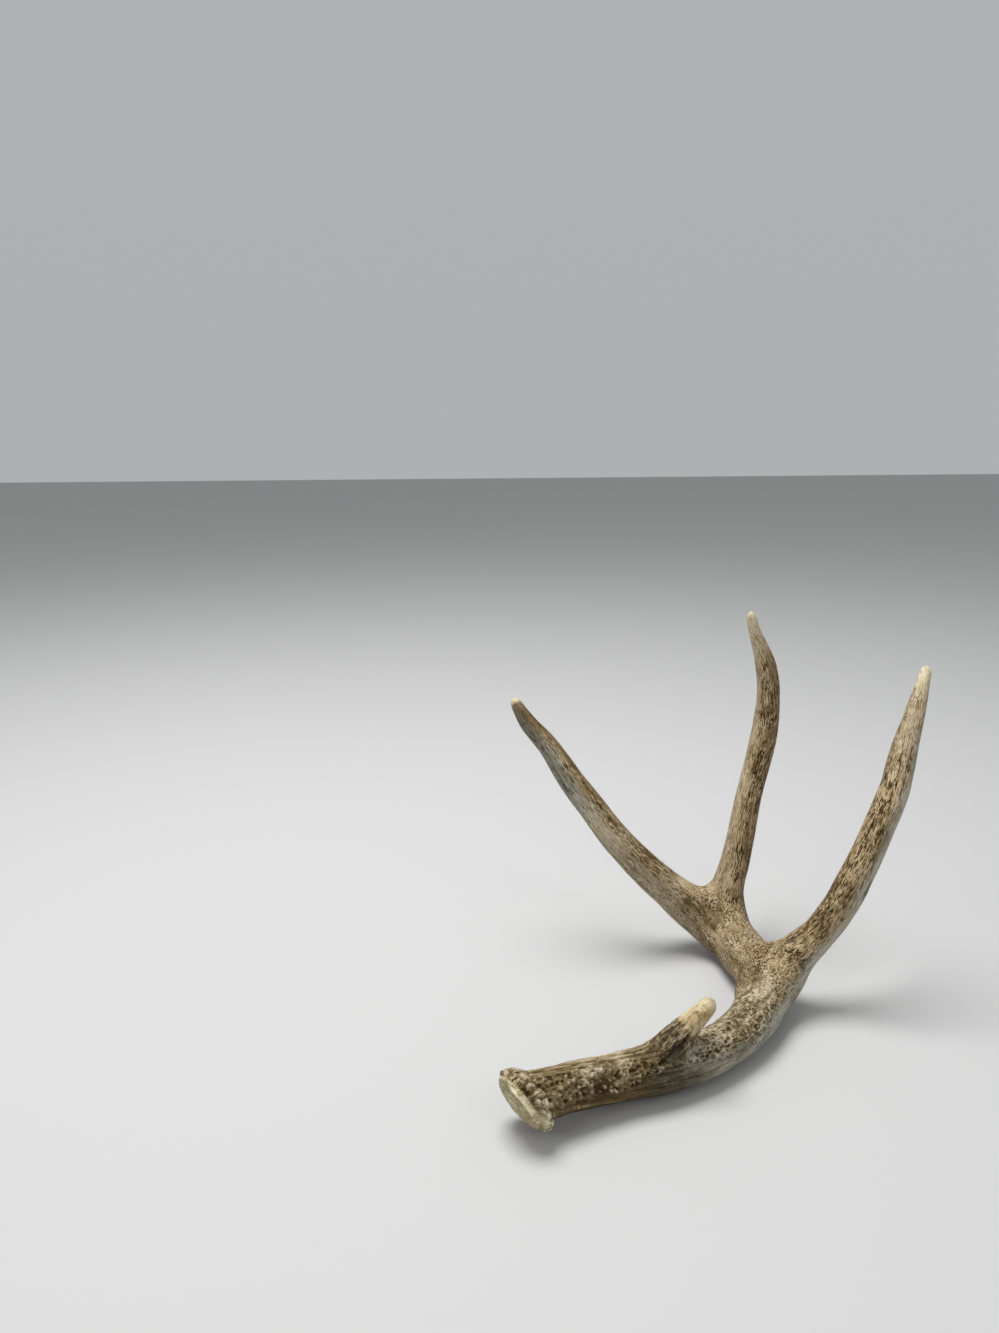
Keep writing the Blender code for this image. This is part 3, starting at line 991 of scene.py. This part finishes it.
def speckle_group():
    """Specks: a noise drawn out along the grain, which gives way to a round one by Web."""
    tree = bpy.data.node_groups.new("speckle", "ShaderNodeTree")
    for name, kind in (("Grain", "Vector"), ("Stretch", "Vector"), ("Web", "Float")):
        tree.interface.new_socket(name, in_out="INPUT", socket_type="NodeSocket" + kind)
    tree.interface.new_socket("Speck", in_out="OUTPUT", socket_type="NodeSocketFloat")
    entry = tree.nodes.new("NodeGroupInput")
    leave = tree.nodes.new("NodeGroupOutput")
    links = tree.links
    drawn = node(tree, "ShaderNodeVectorMath", operation="MULTIPLY")
    links.new(entry.outputs["Grain"], drawn.inputs[0])
    links.new(entry.outputs["Stretch"], drawn.inputs[1])
    place_mm = node(tree, "ShaderNodeVectorMath", operation="SCALE", Scale=1 / METRES)
    links.new(node(tree, "ShaderNodeTexCoord").outputs["Object"], place_mm.inputs[0])
    across = node(tree, "ShaderNodeSeparateXYZ")
    links.new(entry.outputs["Stretch"], across.inputs[0])
    coarser = node(tree, "ShaderNodeMath", operation="MULTIPLY")
    coarser.inputs[1].default_value = ROUND_SIZE
    links.new(across.outputs["X"], coarser.inputs[0])
    even = node(tree, "ShaderNodeVectorMath", operation="SCALE")
    links.new(place_mm.outputs[0], even.inputs[0])
    links.new(coarser.outputs[0], even.inputs["Scale"])
    mixed = node(tree, "ShaderNodeMix", data_type="FLOAT")
    links.new(entry.outputs["Web"], mixed.inputs[0])
    for source, socket in zip((drawn, even), MIX_FLOATS):
        made = node(tree, "ShaderNodeTexNoise", Scale=1.0, Detail=3.0, Roughness=0.65)
        links.new(source.outputs[0], made.inputs["Vector"])
        links.new(made.outputs["Fac"], mixed.inputs[socket])
    speck = node(tree, "ShaderNodeMapRange", interpolation_type="SMOOTHSTEP")
    for key, value in SPECK_RANGE.items():
        speck.inputs[key].default_value = value
    links.new(mixed.outputs[0], speck.inputs["Value"])
    links.new(speck.outputs[0], leave.inputs["Speck"])
    return tree


def sum_of(tree, *terms):
    """A chain of Multiply Add nodes: the first socket plus each other socket times its factor."""
    total = terms[0]
    for socket, factor in terms[1:]:
        step = node(tree, "ShaderNodeMath", operation="MULTIPLY_ADD")
        tree.links.new(socket, step.inputs[0])
        if isinstance(factor, float):
            step.inputs[1].default_value = factor
        else:
            tree.links.new(factor, step.inputs[1])
        tree.links.new(total, step.inputs[2])
        total = step.outputs[0]
    return total


def bone_material(name, speckle):
    """Bone by the marks: stain and specks pick the tone, and the masks pick which ramp gives its colour."""
    made = bpy.data.materials.new(name)
    made.use_nodes = True
    tree = made.node_tree
    links = tree.links
    shader = tree.nodes["Principled BSDF"]
    shader.inputs["Specular IOR Level"].default_value = SPECULAR
    read = {}
    for key in MARKS:
        found = node(tree, "ShaderNodeAttribute", attribute_name=key)
        read[key] = found.outputs["Vector" if key == "flow" else "Fac"]
    dashes = []
    for width, length in DASHES:
        dash = node(tree, "ShaderNodeGroup", node_tree=speckle)
        dash.inputs["Stretch"].default_value = (1 / width, 1 / width, 1 / length)
        links.new(read["flow"], dash.inputs["Grain"])
        links.new(read["web"], dash.inputs["Web"])
        dashes.append(dash.outputs["Speck"])
    strength = node(tree, "ShaderNodeMath", operation="MULTIPLY")
    strength.inputs[1].default_value = SMALL_DARKNESS
    links.new(read["crisp"], strength.inputs[0])
    tone = sum_of(tree, read["stain"], (dashes[0], read["crisp"]), (dashes[1], strength.outputs[0]))
    plain = ramp(tree, TAN)
    links.new(tone, plain.inputs["Fac"])
    colour = plain.outputs["Color"]
    for key, stops in (("rust", RUST), ("grey", GREY), ("seal", SEAL), ("ivory", IVORY)):
        shade = ramp(tree, stops)
        links.new(tone, shade.inputs["Fac"])
        mix = node(tree, "ShaderNodeMix", data_type="RGBA", clamp_factor=True)
        links.new(read[key], mix.inputs[0])
        links.new(colour, mix.inputs[MIX_COLOURS[0]])
        links.new(shade.outputs["Color"], mix.inputs[MIX_COLOURS[1]])
        colour = mix.outputs[MIX_COLOUR_OUT]
    links.new(colour, shader.inputs["Base Color"])
    rough = node(tree, "ShaderNodeMapRange")
    rough.inputs["To Min"].default_value = BONE_ROUGHNESS
    rough.inputs["To Max"].default_value = IVORY_ROUGHNESS
    links.new(read["ivory"], rough.inputs["Value"])
    links.new(rough.outputs[0], shader.inputs["Roughness"])
    depth = sum_of(tree, dashes[0], (dashes[1], SMALL_DEPTH))
    bump = node(tree, "ShaderNodeBump", Strength=SPECK_BUMP, Distance=SPECK_DEPTH * METRES)
    bump.invert = True
    links.new(depth, bump.inputs["Height"])
    links.new(bump.outputs[0], shader.inputs["Normal"])
    return made


# --- The scene ---------------------------------------------------------------------------------------

LAMPS = (  # direction from the antler, distance and diameter in metres, watts
    ((-0.2, 0.14, 1.0), 1.6, 0.9, 30.0),
    ((-0.44, -0.49, 0.48), 2.2, 0.7, 5.0),
    ((0.28, -0.49, 0.48), 2.2, 0.7, 4.0),
)
AIM = (80, 600, 40)  # the point that they face, in the centre lines' millimetres
HORIZON = 0.44  # brightness of the surround at the horizon and overhead
OVERHEAD = 0.46
SKY = (0.965, 0.985, 1.0, 1)
FLOOR_HALF = 6.0  # metres
FLOOR_GREY = (0.465, 0.465, 0.46, 1)
FLOOR_ROUGHNESS = 0.8

CAMERA_HEIGHT = 360.0  # mm over the floor, above x = y = 0 of the centre lines
CAMERA_TILT = 13.3  # degrees down from level
CAMERA_ROLL = -0.5
SENSOR_HEIGHT = 36.0
FOCAL_SHARE = 1050 / 1333  # focal length as a share of the sensor's height


def place(x, y, z):
    """A point of the centre lines' own millimetres in the frame's metres."""
    return tuple((np.array((x, y, z)) - ORIGIN) * METRES)


def camera():
    """The photograph's viewpoint and field of view."""
    made = bpy.data.cameras.new("camera")
    made.sensor_fit = "VERTICAL"
    made.sensor_height = SENSOR_HEIGHT
    made.lens = SENSOR_HEIGHT * FOCAL_SHARE
    made.clip_start = 0.01
    holder = bpy.data.objects.new("camera", made)
    tilt = Euler((np.radians(90 - CAMERA_TILT), 0, 0)).to_matrix()
    roll = Matrix.Rotation(np.radians(CAMERA_ROLL), 3, "Z")
    holder.rotation_euler = (tilt @ roll).to_euler()
    holder.location = place(0, 0, CAMERA_HEIGHT)
    bpy.context.scene.collection.objects.link(holder)
    bpy.context.scene.camera = holder


def floor():
    """A large pale sheet at the height of the antler's lowest point."""
    low = CAD_BOUNDS[0][2]
    signs = ((-1, -1), (1, -1), (1, 1), (-1, 1))
    corners = [(x * FLOOR_HALF, y * FLOOR_HALF, low) for x, y in signs]
    mesh = bpy.data.meshes.new("floor")
    mesh.from_pydata(corners, [], [(0, 1, 2, 3)])
    made = bpy.data.materials.new("floor_paint")
    made.use_nodes = True
    shader = made.node_tree.nodes["Principled BSDF"]
    shader.inputs["Base Color"].default_value = FLOOR_GREY
    shader.inputs["Roughness"].default_value = FLOOR_ROUGHNESS
    mesh.materials.append(made)
    sheet = bpy.data.objects.new("floor", mesh)
    bpy.context.scene.collection.objects.link(sheet)


def light():
    """A soft lamp overhead, two weaker ones in front, and a pale surround."""
    aim = Vector(place(*AIM))
    for number, (toward, away, size, watts) in enumerate(LAMPS):
        lamp = bpy.data.lights.new("lamp_%d" % number, "AREA")
        lamp.shape = "DISK"
        lamp.size = size
        lamp.energy = watts
        holder = bpy.data.objects.new(lamp.name, lamp)
        holder.location = aim + Vector(toward).normalized() * away
        holder.rotation_euler = (aim - holder.location).to_track_quat("-Z", "Y").to_euler()
        bpy.context.scene.collection.objects.link(holder)
    world = bpy.data.worlds.new("surround")
    world.use_nodes = True
    tree = world.node_tree
    background = tree.nodes["Background"]
    background.inputs["Color"].default_value = SKY
    height = node(tree, "ShaderNodeSeparateXYZ")
    tree.links.new(node(tree, "ShaderNodeTexCoord").outputs["Generated"], height.inputs[0])
    strength = node(tree, "ShaderNodeMapRange")
    strength.inputs["To Min"].default_value = HORIZON
    strength.inputs["To Max"].default_value = OVERHEAD
    tree.links.new(height.outputs["Z"], strength.inputs["Value"])
    tree.links.new(strength.outputs[0], background.inputs["Strength"])
    bpy.context.scene.world = world
    bpy.context.scene.view_settings.view_transform = "Standard"


PIECES = (  # solid, slot, points round the tube, and length over which its tip is rounded off
    ("main_beam", "beam_bone", 144, 6.0),
    ("brow_tine", "brow_bone", 112, 5.5),
    ("second_tine", "second_bone", 128, 5.0),
    ("third_tine", "third_bone", 128, 5.0),
)


def ring_stops(name):
    """(position, spacing) stops of a branch's rings: close together at its tip and where its relief
    is finest."""
    end = BRANCHES[name].length
    if name == "main_beam":
        return (0, 0.53), (225, 0.6), (300, 1.0), (340, 1.6), (end - 14, 1.7), (end - 3, 0.5), (end, 0.25)
    return (0, 1.0), (14, 0.6), (end - 12, 0.7), (end - 3, 0.4), (end, 0.2)


def main():
    camera()
    floor()
    light()
    speckle = speckle_group()
    for name, slot, sides, blunt in PIECES:
        piece = grown_piece(name, ring_stops(name), sides, blunt, bone_material(slot, speckle))
        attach(piece, "root")
        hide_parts(name)


main()
